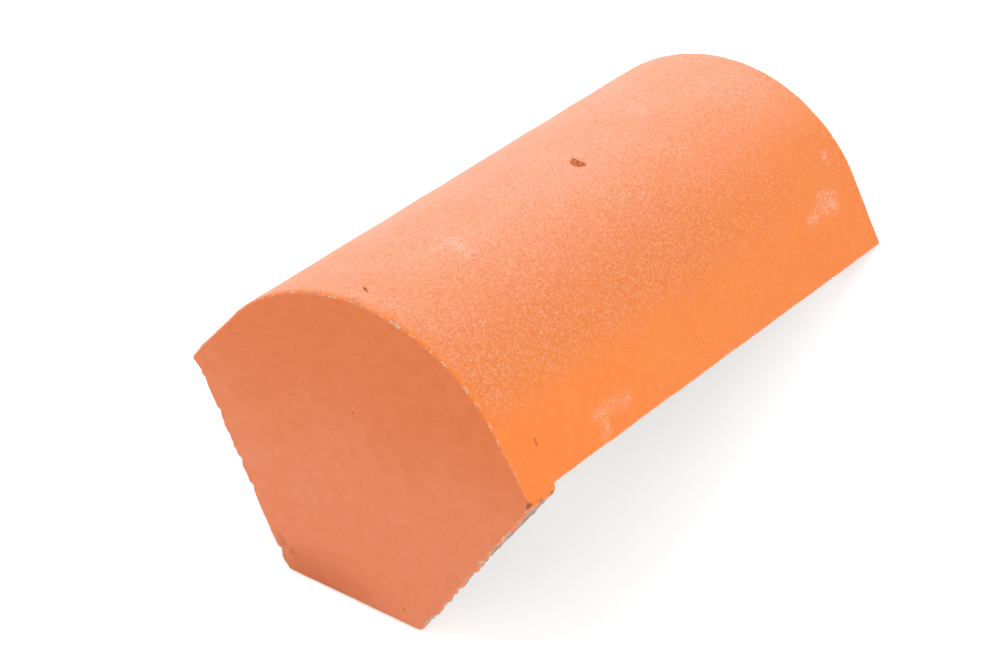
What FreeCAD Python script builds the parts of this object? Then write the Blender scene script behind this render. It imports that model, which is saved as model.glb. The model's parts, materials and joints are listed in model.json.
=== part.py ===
import FreeCAD, Part
import math
import os
import Sketcher

# A gable end ridge tile cast in concrete as one piece: a straight barrel that caps the ridge, closed at one
# end by a thick leaning plate whose skirt hangs below the barrel and covers the gable.
#
# The tile is drawn as it lies on a roof: X across, Y along the ridge from the plate to the open end, Z up,
# with z = 0 on the plate's shoulders. Its Placement then tips it to the way it rests on a level floor,
# standing on the plate's foot and on the two bottom corners of the open end.

os.makedirs("parts", exist_ok=True)
doc = FreeCAD.newDocument("gable_end_ridge_tile")

# ---------------------------------------------------------------- sizes, in mm and degrees
DRIVING = [
    ("tile_length", 452, "plate's shoulders to the open end"),
    ("tile_width", 250, "over the plate's shoulders"),
    ("crown_height", 92.5, "crown above the plate's shoulders"),
    ("leg_lean", 35, "straight legs of the barrel, from upright"),
    ("wall", 16, "barrel wall"),
    ("edge_rise", 3.2, "barrel's long edges above the plate's shoulders"),
    ("plate_thickness", 28, "end plate, square to its face"),
    ("plate_lean", 9.9, "end plate: crown outward, foot inward"),
    ("skirt_drop", 138.5, "shoulders to foot, down the plate's face"),
    ("foot_width", 102.6, "plate's foot, at the face"),
    ("foot_draft", 3, "how far the foot draws in at the plate's back, below and on each side"),
    ("arris_radius", 2, "rounding of the outer arrises"),
    ("root_radius", 2.5, "fillet where the barrel's long edges step down to the plate's shoulders"),
]
DERIVED = [
    ("crown_radius", "=(tile_width / 2 * cos(leg_lean * 1deg) - crown_height * sin(leg_lean * 1deg))"
                     " / (1 - sin(leg_lean * 1deg))", "its arc is tangent to both legs"),
    ("inner_radius", "=crown_radius - wall", "underside of the crown"),
    ("plate_height", "=crown_height + skirt_drop", "foot to crown"),
    ("lean_run", "=plate_height * tan(plate_lean * 1deg)", "how far the plate leans over its height"),
    ("root_fillet", "=min(root_radius; edge_rise * 0.8)", "no taller than the step below the barrel's edges"),
]

sheet = doc.addObject("Spreadsheet::Sheet", "sizes")
for row, (alias, content, note) in enumerate(DRIVING + DERIVED, 1):
    sheet.set(f"A{row}", alias)
    sheet.set(f"B{row}", str(content))
    sheet.set(f"C{row}", note)
    sheet.setAlias(f"B{row}", alias)
doc.recompute()

tile = doc.addObject("PartDesign::Body", "tile")
tile.Label = "gable_end_ridge_tile"

ORIGIN = (-1, 1)
HORIZONTAL_AXIS = -1
VERTICAL_AXIS = -2
TOLERANCE = 0.01


def size(alias):
    return float(sheet.get(alias))


# ---------------------------------------------------------------- sketching
def new_sketch(name):
    """A sketch on the section plane, seen from the plate end: its x is X, its y is Z and it faces -Y."""
    sketch = tile.newObject("Sketcher::SketchObject", name)
    section_plane = next(f for f in tile.Origin.OriginFeatures if f.Role == "XZ_Plane")
    sketch.AttachmentSupport = [(section_plane, "")]
    sketch.MapMode = "FlatFace"
    return sketch


def leaning_sketch(name, depth):
    """A sketch parallel to the plate's face, at a depth behind it."""
    sketch = new_sketch(name)
    across = FreeCAD.Vector(1, 0, 0)
    sketch.AttachmentOffset = FreeCAD.Placement(FreeCAD.Vector(), FreeCAD.Rotation(across, 1))
    sketch.setExpression(".AttachmentOffset.Rotation.Angle", "sizes.plate_lean")
    sketch.setExpression(".AttachmentOffset.Base.y", f"{depth} * sin(sizes.plate_lean * 1deg)")
    sketch.setExpression(".AttachmentOffset.Base.z", f"-{depth} * cos(sizes.plate_lean * 1deg)")
    return sketch


def constrain(sketch, formula, *constraint):
    """Adds a sizing constraint and ties it to the sheet."""
    index = sketch.addConstraint(Sketcher.Constraint(*constraint))
    sketch.setExpression(f"Constraints[{index}]", formula)


def join(sketch, *ends):
    """Joins pairs of (edge, end)."""
    for first, second in zip(ends[::2], ends[1::2]):
        sketch.addConstraint(Sketcher.Constraint("Coincident", *first, *second))


def arch(sketch, radius):
    """The barrel's section from foot to foot: a right leg, the crown's arc and a left leg."""
    lean = math.radians(size("leg_lean"))
    arc_radius = size(radius)
    centre = FreeCAD.Vector(0, size("crown_height") - size("crown_radius"), 0)
    right_spring = centre + FreeCAD.Vector(math.cos(lean), math.sin(lean), 0) * arc_radius
    right_foot = right_spring + FreeCAD.Vector(math.tan(lean), -1, 0) * right_spring.y
    left_spring = FreeCAD.Vector(-right_spring.x, right_spring.y, 0)
    left_foot = FreeCAD.Vector(-right_foot.x, right_foot.y, 0)

    circle = Part.Circle(centre, FreeCAD.Vector(0, 0, 1), arc_radius)
    right = sketch.addGeometry(Part.LineSegment(right_foot, right_spring))
    crown = sketch.addGeometry(Part.ArcOfCircle(circle, lean, math.pi - lean))
    left = sketch.addGeometry(Part.LineSegment(left_spring, left_foot))

    sketch.addConstraint(Sketcher.Constraint("Tangent", right, 2, crown, 1))
    sketch.addConstraint(Sketcher.Constraint("Tangent", crown, 2, left, 1))
    sketch.addConstraint(Sketcher.Constraint("PointOnObject", crown, 3, VERTICAL_AXIS))
    sketch.addConstraint(Sketcher.Constraint("Symmetric", right, 1, left, 2, VERTICAL_AXIS))
    constrain(sketch, "sizes." + radius, "Radius", crown, arc_radius)
    constrain(sketch, "sizes.crown_height - sizes.crown_radius", "DistanceY", *ORIGIN, crown, 3, centre.y)
    constrain(sketch, "90 + sizes.leg_lean", "Angle", right, math.pi / 2 + lean)
    return right, left


def bottom_line(sketch, start, end):
    """A level line that joins two (edge, end) feet."""
    points = [sketch.getPoint(*foot) for foot in (start, end)]
    line = sketch.addGeometry(Part.LineSegment(*points))
    join(sketch, start, (line, 1), end, (line, 2))
    return line


def trapezium(sketch, top, bottom, top_width, bottom_width):
    """Four edges, symmetric about the vertical axis. Heights and widths are formulas for the sheet."""
    corners = [FreeCAD.Vector(*xy, 0) for xy in ((1, 0), (-1, 0), (-1, -1), (1, -1))]
    for start, end in zip(corners, corners[1:] + corners[:1]):
        sketch.addGeometry(Part.LineSegment(start, end))
    join(sketch, (0, 2), (1, 1), (1, 2), (2, 1), (2, 2), (3, 1), (3, 2), (0, 1))
    for edge, height, width in ((0, top, top_width), (2, bottom, bottom_width)):
        sketch.addConstraint(Sketcher.Constraint("Symmetric", edge, 1, edge, 2, VERTICAL_AXIS))
        constrain(sketch, height, "DistanceY", *ORIGIN, edge, 1, -1.0)
        constrain(sketch, width, "Distance", edge, 1.0)


# ---------------------------------------------------------------- features
def pad_along_barrel(name, sketch, behind, before):
    """Pads a section backward by one length and forward by another."""
    pad = tile.newObject("PartDesign::Pad", name)
    pad.Profile = sketch
    pad.Reversed = True
    pad.SideType = "Two sides"
    pad.setExpression("Length", behind)
    pad.setExpression("Length2", before)
    doc.recompute()


def cut_off(name, depth, backward):
    """Cuts away all that lies behind, or before, a plane parallel to the plate's face."""
    sketch = leaning_sketch(name + "_plane", depth)
    trapezium(sketch, "2 * sizes.plate_height", "-2 * sizes.plate_height",
              "2 * sizes.tile_width", "2 * sizes.tile_width")
    doc.recompute()
    volume = tile.Shape.Volume
    cut = tile.newObject("PartDesign::Pocket", name)
    cut.Profile = sketch
    cut.Type = "ThroughAll"
    cut.Reversed = not backward
    doc.recompute()
    assert 0 < tile.Shape.Volume < volume, name


def make_plug():
    """The part of the end plate that fills the barrel."""
    section = new_sketch("plug_section")
    right, left = arch(section, "crown_radius")
    base = bottom_line(section, (left, 2), (right, 1))
    section.addConstraint(Sketcher.Constraint("PointOnObject", base, 1, HORIZONTAL_AXIS))
    pad_along_barrel("plug", section, "sizes.lean_run + sizes.plate_thickness", "sizes.lean_run")
    cut_off("plate_back", "sizes.plate_thickness", backward=True)


def make_barrel():
    section = new_sketch("barrel_section")
    right, left = arch(section, "crown_radius")
    inner_right, inner_left = arch(section, "inner_radius")
    bottom_line(section, (right, 1), (inner_right, 1))
    bottom_line(section, (left, 2), (inner_left, 2))
    for leg_foot in ((right, 1), (inner_right, 1)):
        constrain(section, "sizes.edge_rise", "DistanceY", *ORIGIN, *leg_foot, size("edge_rise"))
    pad_along_barrel("barrel", section, "sizes.tile_length", "sizes.lean_run")


def make_skirt():
    """The part of the end plate that hangs below the barrel, and draws in toward its foot at the back."""
    face = leaning_sketch("skirt_face", "0mm")
    trapezium(face, "0", "-sizes.skirt_drop", "sizes.tile_width", "sizes.foot_width")
    back = leaning_sketch("skirt_back", "sizes.plate_thickness")
    trapezium(back, "-sizes.plate_thickness * tan(sizes.plate_lean * 1deg)",
              "sizes.foot_draft - sizes.skirt_drop",
              "sizes.tile_width", "sizes.foot_width - 2 * sizes.foot_draft")
    doc.recompute()
    skirt = tile.newObject("PartDesign::AdditiveLoft", "skirt")
    skirt.Profile = face
    skirt.Sections = [back]
    skirt.Ruled = True
    doc.recompute()


# ---------------------------------------------------------------- arrises and fillets
def plate_depth(point):
    """How far a point lies behind the plate's face."""
    lean = math.radians(size("plate_lean"))
    return point.y * math.cos(lean) + point.z * math.sin(lean)


def on_plate_face(point):
    return abs(plate_depth(point)) < TOLERANCE


def on_edge_root(point):
    """Where the barrel's long edges step down to the plate's shoulders."""
    on_back = abs(plate_depth(point) - size("plate_thickness")) < TOLERANCE
    return on_back and abs(point.z - size("edge_rise")) < TOLERANCE


def on_open_end_rim(point):
    """On the open end's outer edge."""
    crown_centre = FreeCAD.Vector(0, size("tile_length"), size("crown_height") - size("crown_radius"))
    at_end = abs(point.y - size("tile_length")) < TOLERANCE
    return at_end and point.distanceToPoint(crown_centre) > size("crown_radius") - size("wall") / 2


def round_edges(name, radius, *places):
    """Rounds each edge that lies wholly in one of the places."""
    finished = tile.Tip
    names = []
    for i, edge in enumerate(finished.Shape.Edges, 1):
        middle = edge.valueAt((edge.FirstParameter + edge.LastParameter) / 2)
        points = [vertex.Point for vertex in edge.Vertexes] + [middle]
        if any(all(map(place, points)) for place in places):
            names.append(f"Edge{i}")
    fillet = tile.newObject("PartDesign::Fillet", name)
    fillet.Base = (finished, names)
    fillet.setExpression("Radius", radius)
    doc.recompute()


# ---------------------------------------------------------------- how the tile rests
def rest_pitch():
    """The slope of the floor under the open end's corners and the lower edge of the foot."""
    lean = math.radians(size("plate_lean"))
    down_plate = FreeCAD.Vector(0, math.sin(lean), -math.cos(lean))
    into_plate = FreeCAD.Vector(0, math.cos(lean), math.sin(lean))
    front_edge = down_plate * size("skirt_drop")
    back_drop = size("skirt_drop") - size("foot_draft")
    back_edge = down_plate * back_drop + into_plate * size("plate_thickness")
    corner = FreeCAD.Vector(0, size("tile_length"), size("edge_rise"))
    return max(math.atan2(corner.z - foot.z, corner.y - foot.y) for foot in (front_edge, back_edge))


def set_down():
    """Tips the tile onto the floor, with the middle of its footprint at the origin."""
    tip = FreeCAD.Rotation(FreeCAD.Vector(1, 0, 0), -math.degrees(rest_pitch()))
    tipped = tile.Shape.copy()
    tipped.Placement = FreeCAD.Placement(FreeCAD.Vector(), tip)
    box = tipped.optimalBoundingBox(True, False)
    footprint_middle = FreeCAD.Vector(box.Center.x, box.Center.y, box.ZMin)
    tile.Placement = FreeCAD.Placement(-footprint_middle, tip)
    doc.recompute()


make_plug()
make_barrel()
make_skirt()
cut_off("plate_face", "0mm", backward=False)
round_edges("edge_roots", "sizes.root_fillet", on_edge_root)
round_edges("outer_arrises", "sizes.arris_radius", on_plate_face, on_open_end_rim)
set_down()

failed = [item.Name for item in doc.Objects if {"Invalid", "Error"} & set(item.State)]
assert not failed, failed
assert not tile.Shape.isNull() and tile.Shape.isValid() and len(tile.Shape.Solids) == 1
tile.Shape.exportStep(f"parts/{tile.Label}.step")
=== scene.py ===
import itertools
import json
import math

import bpy
import numpy as np
from mathutils import Matrix, Quaternion, Vector


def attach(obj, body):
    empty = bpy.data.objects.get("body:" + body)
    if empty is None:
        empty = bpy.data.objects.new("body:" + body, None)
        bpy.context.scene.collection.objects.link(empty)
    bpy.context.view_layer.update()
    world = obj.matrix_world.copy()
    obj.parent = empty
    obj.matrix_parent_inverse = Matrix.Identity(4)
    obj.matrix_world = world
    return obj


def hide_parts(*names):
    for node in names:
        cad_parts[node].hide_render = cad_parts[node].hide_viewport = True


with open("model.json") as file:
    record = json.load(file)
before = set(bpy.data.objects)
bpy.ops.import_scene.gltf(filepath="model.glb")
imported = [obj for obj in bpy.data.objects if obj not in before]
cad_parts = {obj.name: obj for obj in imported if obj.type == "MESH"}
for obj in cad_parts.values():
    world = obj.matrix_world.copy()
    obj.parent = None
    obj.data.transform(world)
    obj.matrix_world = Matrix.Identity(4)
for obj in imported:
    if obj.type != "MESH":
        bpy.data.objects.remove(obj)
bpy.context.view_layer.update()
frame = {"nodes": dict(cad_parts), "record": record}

# A gable end ridge tile cast in concrete and coated orange. The CAD solid is remeshed finely and its
# surface worked: the sandy barrel, the smooth face of the end plate, chipped arrises, cement flash along
# the skirt, blow holes and knocked corners. Shape work is in millimetres, on the tile as it lies on a roof:
# X across, Y along the ridge from the plate to the open end, Z up from the plate's shoulders.

# ---------------------------------------------------------------- sizes of the casting, in mm
LENGTH = 452.0
HALF_WIDTH = 125.0
CROWN_HEIGHT = 92.5
LEG_LEAN = math.radians(35)
WALL = 16.0
EDGE_RISE = 3.2
PLATE = 28.0
PLATE_LEAN = math.radians(9.9)
SKIRT_DROP = 138.5
FOOT_HALF_WIDTH = 51.3
FOOT_DRAFT = 3.0
CROWN_RADIUS = ((HALF_WIDTH * math.cos(LEG_LEAN) - CROWN_HEIGHT * math.sin(LEG_LEAN))
                / (1 - math.sin(LEG_LEAN)))
CROWN_CENTRE = CROWN_HEIGHT - CROWN_RADIUS

NODE = "gable_end_ridge_tile"
VOXEL = 1.0
TRIANGLES = 190000
MM = 0.001


def tile_to_row():
    """Carries the tile as drawn, in mm, to the way it rests on the floor, in metres."""
    end = next(m for m in frame["record"]["mounts"] if m["name"] == "open_end")
    along = Vector(end["axis"])
    turn = Vector((0, 1, 0)).rotation_difference(along).to_matrix().to_4x4()
    middle_of_end = turn @ Vector((0, LENGTH, CROWN_HEIGHT - WALL / 2)) * MM
    return Matrix.Translation(Vector(end["pos_m"]) - middle_of_end) @ turn @ Matrix.Scale(MM, 4)


# ---------------------------------------------------------------- numbers over the surface
def lumps(points, cell, seed):
    """Smooth random values from -1 to 1, with lumps about one cell across. A cell may differ by axis."""
    places = points / np.asarray(cell, dtype=float)
    places = places - np.floor(places.min(axis=0)) + 1
    corner = np.floor(places).astype(int)
    ease = places - corner
    ease = ease * ease * (3 - 2 * ease)
    lattice = np.random.default_rng(seed).uniform(-1, 1, corner.max(axis=0) + 2)
    total = np.zeros(len(points))
    for step in itertools.product((0, 1), repeat=3):
        weight = np.prod(np.where(step, ease, 1 - ease), axis=1)
        total += weight * lattice[tuple((corner + step).T)]
    return total


def ramp(values, start, end):
    """0 at start, 1 at end and smooth between. start may be the larger."""
    share = np.clip((values - start) / (end - start), 0, 1)
    return share * share * (3 - 2 * share)


class Casting:
    """The fine mesh of the tile: its points in mm, and how far each is from the tile's own surfaces."""

    def __init__(self, points, normals):
        self.points = points
        self.normals = normals
        x, y, z = points.T
        lean_cos, lean_sin = math.cos(PLATE_LEAN), math.sin(PLATE_LEAN)
        self.depth = y * lean_cos + z * lean_sin
        self.drop = y * lean_sin - z * lean_cos
        self.from_end = LENGTH - y
        self.bottom = z - EDGE_RISE

        leg = (HALF_WIDTH - abs(x)) * math.cos(LEG_LEAN) - z * math.sin(LEG_LEAN)
        crown = CROWN_RADIUS - np.hypot(x, z - CROWN_CENTRE)
        on_crown = z - CROWN_CENTRE > abs(x) * math.tan(LEG_LEAN)
        self.outer = np.where(on_crown, crown, leg)
        self.on_crown = on_crown

        side_length = math.hypot(HALF_WIDTH - FOOT_HALF_WIDTH, SKIRT_DROP)
        slope_in, slope_down = SKIRT_DROP / side_length, (HALF_WIDTH - FOOT_HALF_WIDTH) / side_length
        back_share = np.clip(self.depth / PLATE, 0, 1)
        shoulder_flare = PLATE * math.tan(PLATE_LEAN) * slope_down
        foot_taper = FOOT_DRAFT * (slope_in + slope_down)
        drawn_in = back_share * (self.drop / SKIRT_DROP * (foot_taper + shoulder_flare) - shoulder_flare)
        self.side = (HALF_WIDTH - abs(x)) * slope_in - self.drop * slope_down - drawn_in
        self.foot = SKIRT_DROP - self.drop - back_share * FOOT_DRAFT
        self.outward_from_side = np.stack([np.sign(x) * slope_in, lean_sin * slope_down + 0 * x,
                                           -lean_cos * slope_down + 0 * x], axis=1)

        self.in_plate = self.depth < PLATE + VOXEL / 2
        self.in_skirt = self.in_plate & (z < EDGE_RISE)
        self.on_plate_face = self.in_plate & (self.depth < 1.2)
        underneath = ~self.in_plate & (self.outer > 1.5) & ((self.from_end > 1.5) | (self.outer > 9))
        plate_back = self.in_skirt & (self.side > 1) & (self.depth > 1.2)
        self.on_underside = underneath | plate_back
        self.arris = self.distance_to_arris()

    def distance_to_arris(self):
        """How far each point of the surface is from the nearest outer corner of the section it is on."""
        far = np.full(len(self.points), 1e3)
        plate_back = np.where(self.in_skirt, PLATE - self.depth, far)
        plate_side = np.where(self.in_skirt, self.side, self.outer)
        plate = np.stack([self.depth, plate_back, plate_side, self.foot])
        barrel = np.stack([self.outer, WALL - self.outer, self.from_end, self.bottom])
        walls = np.sort(abs(np.where(self.in_plate, plate, barrel)), axis=0)
        return np.hypot(walls[0], walls[1])

    def move(self, direction, amount):
        self.points = self.points + direction * amount[:, None]

    def grit(self):
        """How strong the sand's texture is: full on the crown, less low on the flanks by the plate and on
        the far flank. It also sets where the sand's painted highlights, shade and glints show.
        """
        x, y, z = self.points.T
        low = ramp(z, 64, 34)
        by_plate = ramp(y, 330, 60)
        far_flank = ramp(y, 230, 400) * ramp(x, 15, 60)
        return ((1 - low * (0.62 + 0.33 * by_plate)) * (1 - 0.45 * far_flank)
                * (0.2 + 0.8 * ramp(self.depth, 1, 6)))

    def chalk_and_sheen(self):
        """Where the coating is paler along the ridge, less down the flanks and by the plate: partly chalky
        weathering, partly a painted sheen of light glancing off the crown.
        """
        round_the_section = np.degrees(np.arctan2(self.points[:, 0], self.points[:, 2] - CROWN_CENTRE))
        ridge = np.minimum(ramp(round_the_section, 43, -8), ramp(round_the_section, -78, -35))
        return ridge * (0.1 + 0.9 * ramp(self.depth, 2.2, 6.5)) * (0.8 + 0.2 * ramp(self.depth, 20, 140))

    def wrap(self):
        """How far round from the sprayed faces each point is, in mm: 0 on the plate's face and the skin."""
        return np.clip(np.minimum(self.depth, self.outer), 0, 30)

    def foot_shade(self):
        """Painted shade: a soft dark cloud just above the foot's edge."""
        x = self.points[:, 0]
        away = np.hypot((x + 24) / 62, (self.drop - 139) / 34)
        return ramp(away, 1.15, 0)


def section_point(across):
    """A point of the barrel's outer outline, above a share of the half width from the middle."""
    x = across * HALF_WIDTH
    spring = CROWN_RADIUS * math.cos(LEG_LEAN)
    if abs(x) < spring:
        return x, CROWN_CENTRE + math.sqrt(CROWN_RADIUS ** 2 - x ** 2)
    return x, (HALF_WIDTH - abs(x)) / math.tan(LEG_LEAN)


def on_face(x, drop):
    """A point of the plate's face, by its place across and its drop below the shoulders."""
    return np.array([x, drop * math.sin(PLATE_LEAN), -drop * math.cos(PLATE_LEAN)])


def on_barrel(across, y):
    x, z = section_point(across)
    return np.array([x, y, z])


# ---------------------------------------------------------------- working the surface
def true_the_crown(casting):
    """Brings the crown's facets back to the round."""
    x, y, z = casting.points.T
    reach = np.hypot(x, z - CROWN_CENTRE)
    for radius in (CROWN_RADIUS, CROWN_RADIUS - WALL):
        near = np.where(casting.on_crown, ramp(abs(reach - radius), 0.3, 0.13), 0)
        scale = 1 + near * (radius / reach - 1)
        casting.points = np.stack([x * scale, y, CROWN_CENTRE + (z - CROWN_CENTRE) * scale], axis=1)
        x, y, z = casting.points.T


def scoop(casting, centre, outward, reach, depth, grain_seed):
    """Knocks a shallow flake off the casting. Returns how bare each point is left."""
    outward = np.asarray(outward, dtype=float)
    outward /= np.linalg.norm(outward)
    offset = casting.points - centre
    away = np.linalg.norm(offset, axis=1)
    near = np.flatnonzero(away < reach)
    if not len(near):
        return np.zeros(len(away))
    ragged = 1 + 0.35 * lumps(casting.points[near], reach / 3, grain_seed)
    bowl = depth * (1 - (away[near] / reach) ** 2) * ragged
    excess = np.clip(offset[near] @ outward + bowl, 0, None)
    casting.points[near] -= outward * excess[:, None]
    bare = np.zeros(len(away))
    bare[near] = ramp(excess, 0.05, 0.5)
    return bare


def pit(casting, start, end, radius, depth, seed):
    """Sinks a blow hole along the short run from start to end. Returns how deep in it each point is."""
    start, end = np.asarray(start, dtype=float), np.asarray(end, dtype=float)
    run = end - start
    reach = np.linalg.norm(run) + 3 * radius
    near = np.flatnonzero(np.linalg.norm(casting.points - start, axis=1) < reach)
    along = np.clip((casting.points[near] - start) @ run / max(run @ run, 1e-9), 0, 1)
    away = np.linalg.norm(casting.points[near] - start - along[:, None] * run, axis=1) / radius
    sink = ramp(away + 0.3 * lumps(casting.points[near], radius * 0.7, seed), 1.05, 0.4)
    casting.points[near] -= casting.normals[near] * (depth * sink)[:, None]
    inside = np.zeros(len(casting.points))
    inside[near] = sink
    return inside


def mark(casting, start, end, width, seed):
    """A ragged streak over the surface between two points, 1 at its middle line and 0 a width away."""
    start, end = np.asarray(start, dtype=float), np.asarray(end, dtype=float)
    run = end - start
    along = np.clip((casting.points - start) @ run / max(run @ run, 1e-9), 0, 1)
    away = np.linalg.norm(casting.points - start - along[:, None] * run, axis=1) / width
    return ramp(away + 0.35 * lumps(casting.points, width / 2.5, seed), 1, 0.25)


def roughen(casting):
    """The concrete's uneven skin: calm on the plate's face, livelier on the barrel, coarse underneath."""
    calm = 0.13 * lumps(casting.points, 34, 1) + 0.05 * lumps(casting.points, 11, 2)
    lively = 0.22 * lumps(casting.points, 26, 3) + 0.12 * lumps(casting.points, 8, 4)
    coarse = (0.3 * lumps(casting.points, 14, 5) + 0.3 * lumps(casting.points, 5, 6)
              + 0.2 * lumps(casting.points, 2.6, 7))
    uneven = np.where(casting.on_underside, coarse, np.where(casting.on_plate_face, calm, lively))
    casting.move(casting.normals, uneven)


def ragged_skirt(casting):
    """Bites and nibs of cement along the skirt's sides and foot, where the mould's halves met."""
    reach = np.where(casting.in_skirt, ramp(casting.side, 3.2, 0), 0)
    front = ramp(casting.depth, 14, 0)
    bite = ramp(lumps(casting.points, 5.5, 11), 0.15, 0.75) * (0.5 + 0.8 * front)
    nib = ramp(lumps(casting.points, 3.4, 12), 0.3, 0.8) * (0.5 + 0.7 * front)
    waver = 0.45 * lumps(casting.points, 12, 13)
    casting.move(casting.outward_from_side, reach * (nib - 1.2 * bite + waver))
    left_shoulder = ramp(np.linalg.norm(casting.points - on_face(-HALF_WIDTH + 2, 5), axis=1), 9, 1)
    casting.move(casting.outward_from_side, 1.7 * left_shoulder)

    under = np.where(casting.in_skirt, ramp(casting.foot, 2.6, 0), 0)
    uneven = 0.35 * lumps(casting.points, 6, 14) + 0.25 * lumps(casting.points, 2.8, 15)
    casting.move(np.array([[0, -math.sin(PLATE_LEAN), -math.cos(PLATE_LEAN)]]), -under * abs(uneven))
    return reach * bite


def worn_arrises(casting):
    """Rubs every outer corner back a little, more in some places than others."""
    at_corner = ramp(casting.arris, 2.6, 0.2)
    harder_knocks = ramp(lumps(casting.points, 3.2, 22), 0.25, 0.8)
    rub = 0.28 + 0.2 * lumps(casting.points, 7, 21) + 0.22 * harder_knocks
    casting.move(casting.normals, -at_corner * rub)


def chipped_corners(casting):
    """Flakes knocked off the corners of the plate, and small ones along the crown's front arris."""
    bare = np.zeros(len(casting.points))
    corners = (
        (on_face(-FOOT_HALF_WIDTH, SKIRT_DROP), (-0.75, -0.25, -0.6), 11, 3.4),
        (on_face(-FOOT_HALF_WIDTH - 4, SKIRT_DROP - 11), (-0.9, -0.4, 0), 5, 1.3),
        (on_face(FOOT_HALF_WIDTH, SKIRT_DROP), (0.6, -0.35, -0.7), 8, 2.2),
        (on_face(HALF_WIDTH - 0.5, 5), (0.8, -0.6, 0), 6, 1.6),
        (on_face(HALF_WIDTH - 7, 16), (0.9, -0.45, 0), 4.5, 1.2),
        (on_face(HALF_WIDTH - 19, 37), (0.9, -0.45, 0), 5, 1.2),
        (on_face(-HALF_WIDTH + 21, 40), (-0.9, -0.45, 0), 6, 1.6),
        (on_face(-HALF_WIDTH + 38, 71), (-0.9, -0.45, 0), 6, 1.3),
        (on_face(-HALF_WIDTH + 47, 87), (-0.9, -0.45, 0), 5, 1.3),
    )
    for seed, (place, outward, reach, depth) in enumerate(corners, start=31):
        bare = np.maximum(bare, scoop(casting, place, outward, reach, depth, seed))
    arris_chips = ((-40.5, 3.8, 2.3), (-33, 3.7, 2.2), (-10, 4.2, 2.3), (-5, 3.9, 2.3), (20, 4.3, 2.3),
                   (24.6, 4.7, 2.6))
    for seed, (x, reach, depth) in enumerate(arris_chips, start=51):
        _, height = section_point(x / HALF_WIDTH)
        place = on_face(x, -height / math.cos(PLATE_LEAN))
        bare = np.maximum(bare, scoop(casting, place, (x / 200, -0.75, 0.65), reach, depth, seed))
    scoop(casting, on_face(-HALF_WIDTH, 0), (-0.7, -0.1, 0.7), 8, 1.9, 60)
    scoop(casting, on_barrel(0.98, LENGTH), (0.8, 0.5, 0), 5, 0.8, 61)
    return bare


def blow_holes(casting):
    """Air pits: one large one on the ridge line, and pin holes here and there."""
    hole = np.zeros(len(casting.points))
    holes = (
        (on_barrel(-0.078, 242.2), on_barrel(-0.045, 240.6), 3.4, 1.2),
        (on_barrel(-0.050, 240.6), on_barrel(-0.042, 240.2), 4.9, 1.7),
        (on_barrel(-0.108, 4.8), on_barrel(-0.074, 2.0), 1.05, 1.2),
        (on_barrel(0.844, 26.6), on_barrel(0.861, 26.2), 0.9, 0.8),
        (on_face(-95.8, 12.6), on_face(-94.6, 13.8), 1.1, 0.6),
        (on_face(-6.8, -9.4), on_face(-5.6, -10.4), 0.9, 0.4),
        (on_face(38, 126), on_face(38.4, 127), 0.9, 0.4),
    )
    for seed, (start, end, radius, depth) in enumerate(holes, start=71):
        hole = np.maximum(hole, pit(casting, start, end, radius, depth, seed))
    return hole


def pale_scuffs(casting):
    """Rubs where the coating has gone chalky."""
    streaks = (
        (on_barrel(-0.05, 95), on_barrel(0.05, 87), 5.5, 1.0),
        (on_barrel(-0.08, 92), on_barrel(-0.06, 72), 3.5, 0.5),
        (on_barrel(-0.16, 340), on_barrel(-0.10, 334), 6, 0.6),
        (on_barrel(0.77, 416), on_barrel(0.775, 404), 7.5, 1.0),
        (on_barrel(0.74, 408), on_barrel(0.80, 382), 6, 0.7),
        (on_barrel(0.62, 429), on_barrel(0.66, 428.6), 2.6, 1.0),
        (on_barrel(0.89, 92), on_barrel(0.90, 128), 6, 0.55),
        (on_barrel(0.90, 100), on_barrel(0.975, 92), 4, 0.6),
    )
    scuff = np.zeros(len(casting.points))
    for seed, (start, end, width, strength) in enumerate(streaks, start=81):
        scuff = np.maximum(scuff, strength * mark(casting, start, end, width, seed))
    return np.where(casting.on_underside, 0, scuff)


# ---------------------------------------------------------------- from the CAD solid to the casting
def fine_mesh(node, to_tile):
    """The CAD solid as one closed skin of small even faces, in mm in the tile's own axes."""
    mesh = node.data.copy()
    mesh.transform(to_tile)
    if "UVMap" in mesh.attributes:
        mesh.attributes.remove(mesh.attributes["UVMap"])
    piece = bpy.data.objects.new("gable_end_ridge_tile_casting", mesh)
    bpy.context.scene.collection.objects.link(piece)
    remesh = piece.modifiers.new("even_skin", "REMESH")
    remesh.mode = "VOXEL"
    remesh.voxel_size = VOXEL
    apply_modifiers(piece)
    return piece


def apply_modifiers(piece):
    evaluated = piece.evaluated_get(bpy.context.evaluated_depsgraph_get())
    finished = bpy.data.meshes.new_from_object(evaluated)
    piece.modifiers.clear()
    piece.data = finished


def read_vectors(items, name):
    values = np.empty(len(items) * 3)
    items.foreach_get(name, values)
    return values.reshape(-1, 3)


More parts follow.
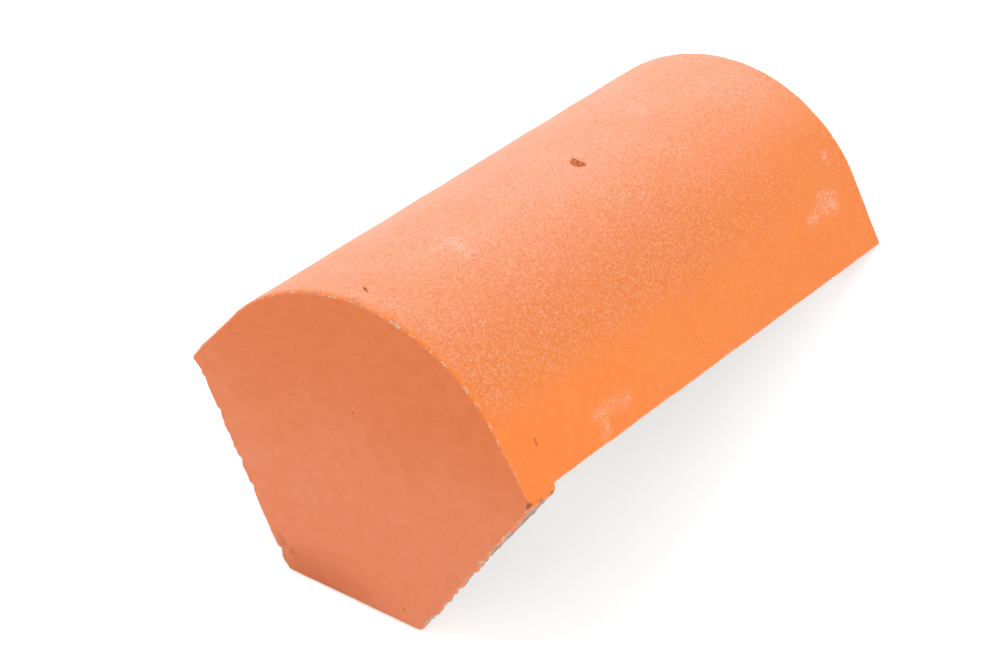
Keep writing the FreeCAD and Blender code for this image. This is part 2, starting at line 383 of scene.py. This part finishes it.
def cast_the_tile():
    """The finished piece: remeshed, worked, thinned where it is plain, and set down in the row's frame."""
    to_row = tile_to_row()
    piece = fine_mesh(frame["nodes"][NODE], to_row.inverted())
    mesh = piece.data
    casting = Casting(read_vectors(mesh.vertices, "co"), read_vectors(mesh.vertex_normals, "vector"))

    true_the_crown(casting)
    surface = {
        "behind_face": np.clip(casting.depth, -1, 60),
        "wrap": casting.wrap(),
        "height": casting.points[:, 2],
        "from_arris": np.clip(casting.arris, 0, 12),
        "grit": casting.grit(),
        "foot_shade": casting.foot_shade(),
    }
    roughen(casting)
    bites = ragged_skirt(casting)
    worn_arrises(casting)
    chips = chipped_corners(casting)
    surface["blow_hole"] = blow_holes(casting)
    surface["scuff"] = pale_scuffs(casting)
    surface["chip"] = np.maximum(chips, 0.8 * bites)
    surface["chalk_and_sheen"] = casting.chalk_and_sheen()
    # Rust stains at the shoulder and on the face, and, as the second mark, a thin dark line of painted shade
    # along the barrel's lower edge by the plate.
    surface["rust_and_edge_shade"] = np.maximum(mark(casting, (120, -1, -1), (122, 1, 1), 3.4, 95),
                                 mark(casting, (124.6, 9, 0), (124.6, 28, 0), 1.7, 96))
    for seed, (x, drop) in enumerate(((-49.5, 121), (-43, 132), (97, 42)), start=97):
        spot = mark(casting, on_face(x, drop), on_face(x, drop), 3, seed)
        surface["rust_and_edge_shade"] = np.maximum(surface["rust_and_edge_shade"], spot)

    mesh.vertices.foreach_set("co", casting.points.ravel())
    for name, values in surface.items():
        mesh.attributes.new(name, "FLOAT", "POINT").data.foreach_set("value", values.astype(np.float32))
    mesh.update()

    thin = piece.modifiers.new("thinned", "DECIMATE")
    thin.ratio = TRIANGLES / sum(len(face.vertices) - 2 for face in mesh.polygons)
    apply_modifiers(piece)
    piece.data.transform(to_row)
    stand_on_floor(piece.data)
    piece.data.shade_smooth()
    return piece


def stand_on_floor(mesh):
    """Nothing of the worked surface reaches below the floor."""
    points = read_vectors(mesh.vertices, "co")
    points[:, 2] = np.maximum(points[:, 2], 0)
    mesh.vertices.foreach_set("co", points.ravel())
    mesh.update()


# ---------------------------------------------------------------- finishes
class Wire:
    """One output of a node, used in plain arithmetic. Each operation adds its Math node."""

    def __init__(self, finish, socket):
        self.finish = finish
        self.socket = socket

    def maths(self, operation, *values):
        return self.finish.add("ShaderNodeMath", {"operation": operation}, dict(enumerate(values)))

    def __add__(self, other):
        return self.maths("ADD", self, other)

    def __radd__(self, other):
        return self.maths("ADD", other, self)

    def __sub__(self, other):
        return self.maths("SUBTRACT", self, other)

    def __rsub__(self, other):
        return self.maths("SUBTRACT", other, self)

    def __mul__(self, other):
        return self.maths("MULTIPLY", self, other)

    def __rmul__(self, other):
        return self.maths("MULTIPLY", other, self)

    def size(self):
        return self.maths("ABSOLUTE", self)

    def at_most(self, limit):
        return self.maths("MINIMUM", self, limit)

    def at_least(self, limit):
        return self.maths("MAXIMUM", self, limit)


class Finish:
    """A material under construction."""

    def __init__(self, owner):
        owner.use_nodes = True
        self.tree = owner.node_tree
        self.tree.nodes.clear()

    def add(self, kind, settings=None, inputs=None, output=0):
        """Adds a node: its settings first, then its sockets by name or number. Returns one output."""
        node = self.tree.nodes.new(kind)
        for name, value in (settings or {}).items():
            setattr(node, name, value)
        for name, value in (inputs or {}).items():
            if isinstance(value, Wire):
                self.tree.links.new(value.socket, node.inputs[name])
            else:
                node.inputs[name].default_value = value
        return Wire(self, node.outputs[output]) if node.outputs else node

    def painted(self, name):
        """A value stored on the mesh's points."""
        return self.add("ShaderNodeAttribute", {"attribute_name": name}, output="Fac")

    def place(self):
        return self.add("ShaderNodeTexCoord", output="Object")

    def stretched(self, place, scale):
        return self.add("ShaderNodeMapping", {"vector_type": "POINT"}, {"Vector": place, "Scale": scale})

    def noise(self, place, size_mm, detail=2.0, roughness=0.5, distortion=0.0):
        return self.add("ShaderNodeTexNoise", {}, {
            "Vector": place, "Scale": 1 / (size_mm * MM), "Detail": detail, "Roughness": roughness,
            "Distortion": distortion})

    def step(self, value, start, end):
        """0 up to start, 1 past end and smooth between."""
        return self.add("ShaderNodeMapRange", {"interpolation_type": "SMOOTHSTEP"}, {
            "Value": value, "From Min": start, "From Max": end})

    def blend(self, factor, first, second):
        """Mixes two colours."""
        return self.add("ShaderNodeMix", {"data_type": "RGBA"}, {0: factor, 6: first, 7: second}, output=2)


def linear(red, green, blue):
    """A colour named by its 8-bit values, as the shader takes it."""
    def channel(value):
        value /= 255
        return value / 12.92 if value <= 0.04045 else ((value + 0.055) / 1.055) ** 2.4
    return (channel(red), channel(green), channel(blue), 1)


ORANGE = linear(241, 128, 36)
# Deeper orange for the coating's mottle, and for the painted shade in the sand's hollows.
DEEP_ORANGE = linear(238, 112, 24)
# Peach for the chalky weathering and painted sheen on the ridge, and for the painted highlights on the
# sand's tops.
PEACH = linear(252, 172, 138)
TERRACOTTA = linear(230, 121, 62)
PALE_TERRACOTTA = linear(236, 136, 92)
# Brown for the painted shade over the foot and down the creases, and for the face's specks.
SHADE_AND_SPECK_BROWN = linear(192, 90, 38)
CHALK = linear(250, 214, 198)
FLAKE = linear(244, 196, 166)
# Pale for the rubbed arrises, which is wear, and for the painted glints on the sand's grains.
PALE_WEAR_AND_GLINT = linear(255, 232, 208)
CEMENT = linear(196, 180, 168)
DARK_CEMENT = linear(132, 116, 106)
HOLE_BROWN = linear(236, 134, 64)
HOLE_DARK = linear(176, 78, 30)
# Brown for the rust stains and for the painted shade line along the barrel's lower edge.
RUST_AND_SHADE_BROWN = linear(146, 68, 34)
WHITE = (1, 1, 1, 1)


def coated_concrete():
    """Orange coating over sandy concrete, with grey cement where it is chipped or was never coated."""
    material = bpy.data.materials.new("coated_concrete")
    finish = Finish(material)
    place = finish.place()
    grained = finish.stretched(place, (1.15, 0.8, 1.15))
    grit = finish.painted("grit")
    hole = finish.painted("blow_hole")

    broad = finish.noise(place, 45, detail=3)
    patchy = finish.noise(place, 9, detail=3)
    sand = finish.noise(grained, 1.8, detail=3, roughness=0.7)
    fine = finish.noise(place, 0.8, detail=1)
    front = finish.step(finish.painted("behind_face") + 0.5 * (sand - 0.5), 0.85, 0.35)
    face = front.at_least(finish.step(finish.painted("height"), -1, -6))
    wrinkles = brushed_wrinkles(finish, place, patchy)

    barrel = barrel_coating(finish, place, broad, patchy, sand, grit)
    plate = plate_coating(finish, place, broad, patchy, wrinkles)
    coating = finish.blend(face, barrel, plate)
    at_arris = finish.step(finish.painted("from_arris"), 2.3, 0.9)
    rubbed = at_arris * finish.step(fine + 0.7 * patchy, 0.95, 1.04)
    coating = finish.blend(0.75 * rubbed, coating, PALE_WEAR_AND_GLINT)

    chip = finish.painted("chip") * finish.step(sand + 0.4 * patchy, 0.45, 0.72)
    cement = finish.blend(finish.step(sand, 0.35, 0.66), DARK_CEMENT, CEMENT)
    cement = finish.blend(0.35 * finish.step(patchy, 0.45, 0.7), cement, CHALK)
    cement = finish.blend(0.95 * chip, cement, FLAKE)
    uncoated = chip.at_least(bare_cement(finish, broad, patchy, sand))
    colour = finish.blend(uncoated, coating, cement)

    scuffed = finish.painted("scuff") * finish.step(0.6 * fine + 0.6 * sand + 0.4 * patchy, 0.74, 0.96)
    colour = finish.blend((0.85 * scuffed).at_most(1), colour, CHALK)
    inside = finish.blend(finish.step(sand, 0.4, 0.6), HOLE_DARK, HOLE_BROWN)
    colour = finish.blend(finish.step(hole, 0.2, 0.45), colour, inside)
    # Rust stains, and the painted shade line along the barrel's lower edge.
    colour = finish.blend(finish.painted("rust_and_edge_shade") * finish.step(patchy, 0.42, 0.6), colour, RUST_AND_SHADE_BROWN)

    barrel_height = (1.5 * (sand - 0.5) + 0.4 * (fine - 0.5)) * (0.12 + 0.88 * grit) + 0.4 * (patchy - 0.5)
    face_height = 0.14 * (sand - 0.5) + 0.15 * (wrinkles - 1) + 0.3 * (patchy - 0.5)
    rough_height = 1.5 * (sand - 0.5) + 0.5 * (fine - 0.5) + 0.9 * (patchy - 0.5)
    coated_height = barrel_height * (1 - face) + face_height * face
    height = coated_height * (1 - uncoated) + rough_height * uncoated
    normal = finish.add("ShaderNodeBump", {}, {"Strength": 1.0, "Distance": MM, "Height": height})

    gloss = 0.46 + 0.2 * (sand - 0.5) + 0.4 * uncoated + 0.1 * face
    shader = finish.add("ShaderNodeBsdfPrincipled", {}, {
        "Base Color": colour, "Roughness": gloss.at_most(0.95), "Specular IOR Level": 0.42,
        "Normal": normal})
    finish.add("ShaderNodeOutputMaterial", {}, {"Surface": shader})
    return material


def barrel_coating(finish, place, broad, patchy, sand, grit):
    """The sprayed coating over sand: painted shade deeper in the sand's hollows, chalky weathering and
    painted sheen on the ridge, painted highlights and glints on the grains' tops.
    """
    shade = finish.step(0.55 * broad + 0.45 * patchy, 0.36, 0.64)
    barrel = finish.blend(0.35 * shade, ORANGE, DEEP_ORANGE)
    # Paler along the ridge: part chalky weathering, part painted sheen.
    chalk_and_sheen = finish.painted("chalk_and_sheen") * (0.57 + 0.13 * finish.step(broad, 0.4, 0.6))
    barrel = finish.blend(chalk_and_sheen, barrel, PEACH)
    # Painted highlight: peach on the sand's tops.
    barrel = finish.blend(0.55 * finish.step(sand, 0.5, 0.62) * grit, barrel, PEACH)
    # Painted shade: deeper orange down the sand's hollows.
    barrel = finish.blend(0.85 * finish.step(sand, 0.46, 0.36) * grit, barrel, DEEP_ORANGE)
    # Painted glints: pale dots on the standing grains.
    grains = finish.add("ShaderNodeTexVoronoi", {"feature": "F1"}, {
        "Vector": place, "Scale": 1 / (1.2 * MM)}, output="Distance")
    chosen = finish.noise(place, 1.7, detail=2, roughness=0.6)
    painted_glints = finish.step(grains, 0.42, 0.14) * finish.step(chosen + 0.3 * broad, 0.72, 0.80) * grit
    return finish.blend(0.9 * painted_glints, barrel, PALE_WEAR_AND_GLINT)


def plate_coating(finish, place, broad, patchy, wrinkles):
    """The plate's smoother coat: deeper towards the crown and paler below as painted light from the floor,
    with painted shade just over the foot and down the creases.
    """
    # Painted light: the face paler towards the foot, as if lit from the floor below, and deeper towards the
    # crown.
    low = finish.step(finish.painted("height") + 90 * (broad - 0.5), 60, -70)
    plate = finish.blend(low, TERRACOTTA, PALE_TERRACOTTA)
    plate = finish.blend(0.3 * finish.step(patchy, 0.4, 0.65), plate, TERRACOTTA)
    # Painted shade just over the foot.
    plate = finish.blend(0.66 * finish.painted("foot_shade"), plate, SHADE_AND_SPECK_BROWN)
    # Painted shade down the creases.
    plate = finish.blend(0.06 * (1 - wrinkles), plate, SHADE_AND_SPECK_BROWN)
    specks = finish.step(finish.noise(place, 2.1, detail=2, roughness=0.7), 0.31, 0.25)
    return finish.blend(0.6 * specks, plate, SHADE_AND_SPECK_BROWN)


def brushed_wrinkles(finish, place, patchy):
    """Fine creases across the plate's face where the coating dried: 1 on the flat, 0 down a crease."""
    slanted = finish.add("ShaderNodeMapping", {"vector_type": "POINT"}, {
        "Vector": place, "Rotation": (0, math.radians(-18), 0), "Scale": (0.45, 1.0, 1.0)})
    ripple = finish.noise(slanted, 3.2, detail=3, roughness=0.6, distortion=0.4)
    crease = (ripple - 0.5).size()
    upper = 0.25 + 0.75 * finish.step(finish.painted("height"), -60, 30)
    return 1 - (1 - (20 * crease).at_most(1)) * finish.step(patchy, 0.38, 0.6) * upper


def bare_cement(finish, broad, patchy, sand):
    """How far the grey cement shows: where the spray didn't reach, in a broken line."""
    reach = finish.painted("wrap") + 7 * (patchy - 0.5) + 4 * (sand - 0.5)
    overspray = finish.step(0.5 * patchy + 0.5 * broad, 0.62, 0.5)
    return finish.step(reach, 2.5, 5.5) * (0.78 + 0.22 * overspray)


def seen_directly(finish):
    """1 for what is seen, straight or by way of a glossy or clear surface, and 0 for what only lights."""
    camera, glossy, clear = (finish.add("ShaderNodeLightPath", output=ray) for ray in (
        "Is Camera Ray", "Is Glossy Ray", "Is Transmission Ray"))
    return (camera + glossy + clear).at_most(1)


def studio_floor_paint():
    """A pale matt floor that reads as white where nothing shades it."""
    material = bpy.data.materials.new("studio_floor_paint")
    finish = Finish(material)
    matt = finish.add("ShaderNodeBsdfDiffuse", {}, {"Color": (0.82, 0.82, 0.82, 1)})
    lift = finish.add("ShaderNodeEmission", {}, {"Color": WHITE, "Strength": 0.42})
    lifted = finish.add("ShaderNodeAddShader", {}, {0: matt, 1: lift})
    shown = finish.add("ShaderNodeMixShader", {}, {0: seen_directly(finish), 1: matt, 2: lifted})
    finish.add("ShaderNodeOutputMaterial", {}, {"Surface": shown})
    return material


# ---------------------------------------------------------------- the studio
def lay_floor():
    reach = 14.0
    mesh = bpy.data.meshes.new("studio_floor")
    corners = [(x * reach, y * reach, 0) for x, y in ((-1, -1), (1, -1), (1, 1), (-1, 1))]
    mesh.from_pydata(corners, [], [(0, 1, 2, 3)])
    mesh.materials.append(studio_floor_paint())
    floor = bpy.data.objects.new("studio_floor", mesh)
    bpy.context.scene.collection.objects.link(floor)


def hang_softbox(name, place, size, power):
    """A round soft lamp, in metres and watts, aimed at the middle of the tile."""
    middle_of_tile = Vector((0, 0, 0.1))
    lamp = bpy.data.lights.new(name, "AREA")
    lamp.shape = "DISK"
    lamp.size = size
    lamp.energy = power
    softbox = bpy.data.objects.new(name, lamp)
    softbox.location = place
    softbox.rotation_euler = (middle_of_tile - Vector(place)).to_track_quat("-Z", "Y").to_euler()
    bpy.context.scene.collection.objects.link(softbox)


def light_the_room(level):
    """Even light from all round, and a white backdrop."""
    world = bpy.data.worlds.new("studio_room")
    bpy.context.scene.world = world
    finish = Finish(world)
    light, backdrop = (finish.add("ShaderNodeBackground", {}, {"Color": WHITE, "Strength": strength})
                       for strength in (level, 1.0))
    room = finish.add("ShaderNodeMixShader", {}, {0: seen_directly(finish), 1: light, 2: backdrop})
    finish.add("ShaderNodeOutputWorld", {}, {"Surface": room})


def set_camera():
    """Looks down on the plate and the right flank."""
    azimuth, elevation, roll = math.radians(34.87), math.radians(45.07), math.radians(-2.54)
    target, distance = Vector((-0.0080, -0.0537, 0.0756)), 2.874
    towards = Vector((math.sin(azimuth) * math.cos(elevation), -math.cos(azimuth) * math.cos(elevation),
                      math.sin(elevation)))
    lens = bpy.data.cameras.new("camera")
    lens.sensor_width = 36
    lens.lens = 162.19
    camera = bpy.data.objects.new("camera", lens)
    camera.location = target + towards * distance
    facing = (-towards).to_track_quat("-Z", "Y") @ Quaternion((0, 0, 1), roll)
    camera.rotation_euler = facing.to_euler()
    bpy.context.scene.collection.objects.link(camera)
    bpy.context.scene.camera = camera


tile = cast_the_tile()
tile.data.materials.clear()
tile.data.materials.append(coated_concrete())
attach(tile, "root")
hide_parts(NODE)

lay_floor()
light_the_room(0.67)
hang_softbox("key_softbox", (-1.1, 2.2, 1.5), 1.6, 34.5)
hang_softbox("side_softbox", (2.4, -0.6, 1.5), 1.5, 29.5)
hang_softbox("front_softbox", (-2.2, -1.2, 1.7), 0.9, 19)
set_camera()
bpy.context.scene.view_settings.view_transform = "Standard"
